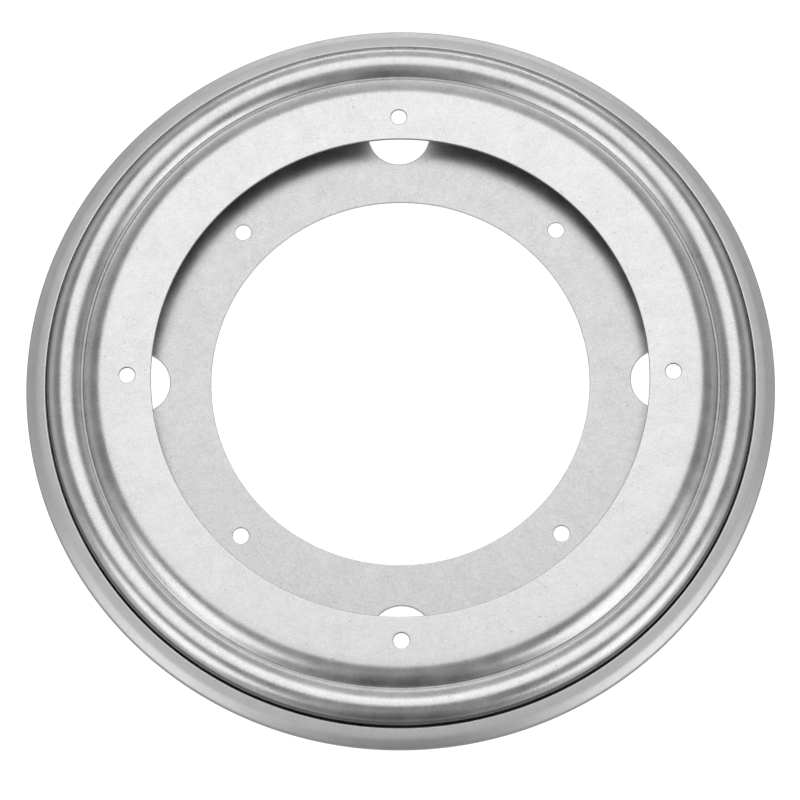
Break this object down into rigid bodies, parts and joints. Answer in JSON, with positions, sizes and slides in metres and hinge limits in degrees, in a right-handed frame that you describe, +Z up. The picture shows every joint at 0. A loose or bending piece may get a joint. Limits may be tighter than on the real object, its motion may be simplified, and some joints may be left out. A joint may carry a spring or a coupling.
{
  "type": "lazy susan bearing",
  "caption": "Round open-centre turntable bearing: two stamped galvanised steel plates, the upper one turning on caged balls inside the rolled rim of the lower one, with screw holes in both.",
  "frame": {"origin": "on the turning axis, at the face that the lower plate rests on", "axes": "+Z up along the turning axis, +X and +Y through screw holes of the upper plate"},
  "size_m": [0.3048, 0.3048, 0.0125],
  "materials": {
    "galvanised_sheet": "skin-passed galvanised sheet, matte with a fine grain",
    "nylon": "moulded, natural",
    "ball_steel": "ground and polished"
  },
  "bodies": {
    "lower_plate": {"lower_plate": "galvanised_sheet"},
    "upper_plate": {"upper_plate": "galvanised_sheet"},
    "ball_ring": {"ball_retainer": "nylon", "ball_01": "ball_steel", "ball_02": "ball_steel", "ball_03": "ball_steel", "ball_04": "ball_steel", "ball_05": "ball_steel", "ball_06": "ball_steel", "ball_07": "ball_steel", "ball_08": "ball_steel", "ball_09": "ball_steel", "ball_10": "ball_steel", "ball_11": "ball_steel", "ball_12": "ball_steel", "ball_13": "ball_steel", "ball_14": "ball_steel", "ball_15": "ball_steel", "ball_16": "ball_steel", "ball_17": "ball_steel", "ball_18": "ball_steel", "ball_19": "ball_steel", "ball_20": "ball_steel", "ball_21": "ball_steel", "ball_22": "ball_steel", "ball_23": "ball_steel", "ball_24": "ball_steel", "ball_25": "ball_steel", "ball_26": "ball_steel", "ball_27": "ball_steel", "ball_28": "ball_steel", "ball_29": "ball_steel", "ball_30": "ball_steel", "ball_31": "ball_steel", "ball_32": "ball_steel", "ball_33": "ball_steel", "ball_34": "ball_steel", "ball_35": "ball_steel", "ball_36": "ball_steel"}
  },
  "joints": [
    {"name": "upper_plate_turn", "type": "hinge", "parent": "lower_plate", "child": "upper_plate", "pos_m": [0, 0, 0], "axis": [0, 0, 1], "continuous": true},
    {"name": "ball_ring_turn", "type": "hinge", "parent": "lower_plate", "child": "ball_ring", "pos_m": [0, 0, 0], "axis": [0, 0, 1], "continuous": true}
  ],
  "couplings": [
    {"joint": "ball_ring_turn", "follows": "upper_plate_turn", "ratio": 0.5}
  ]
}
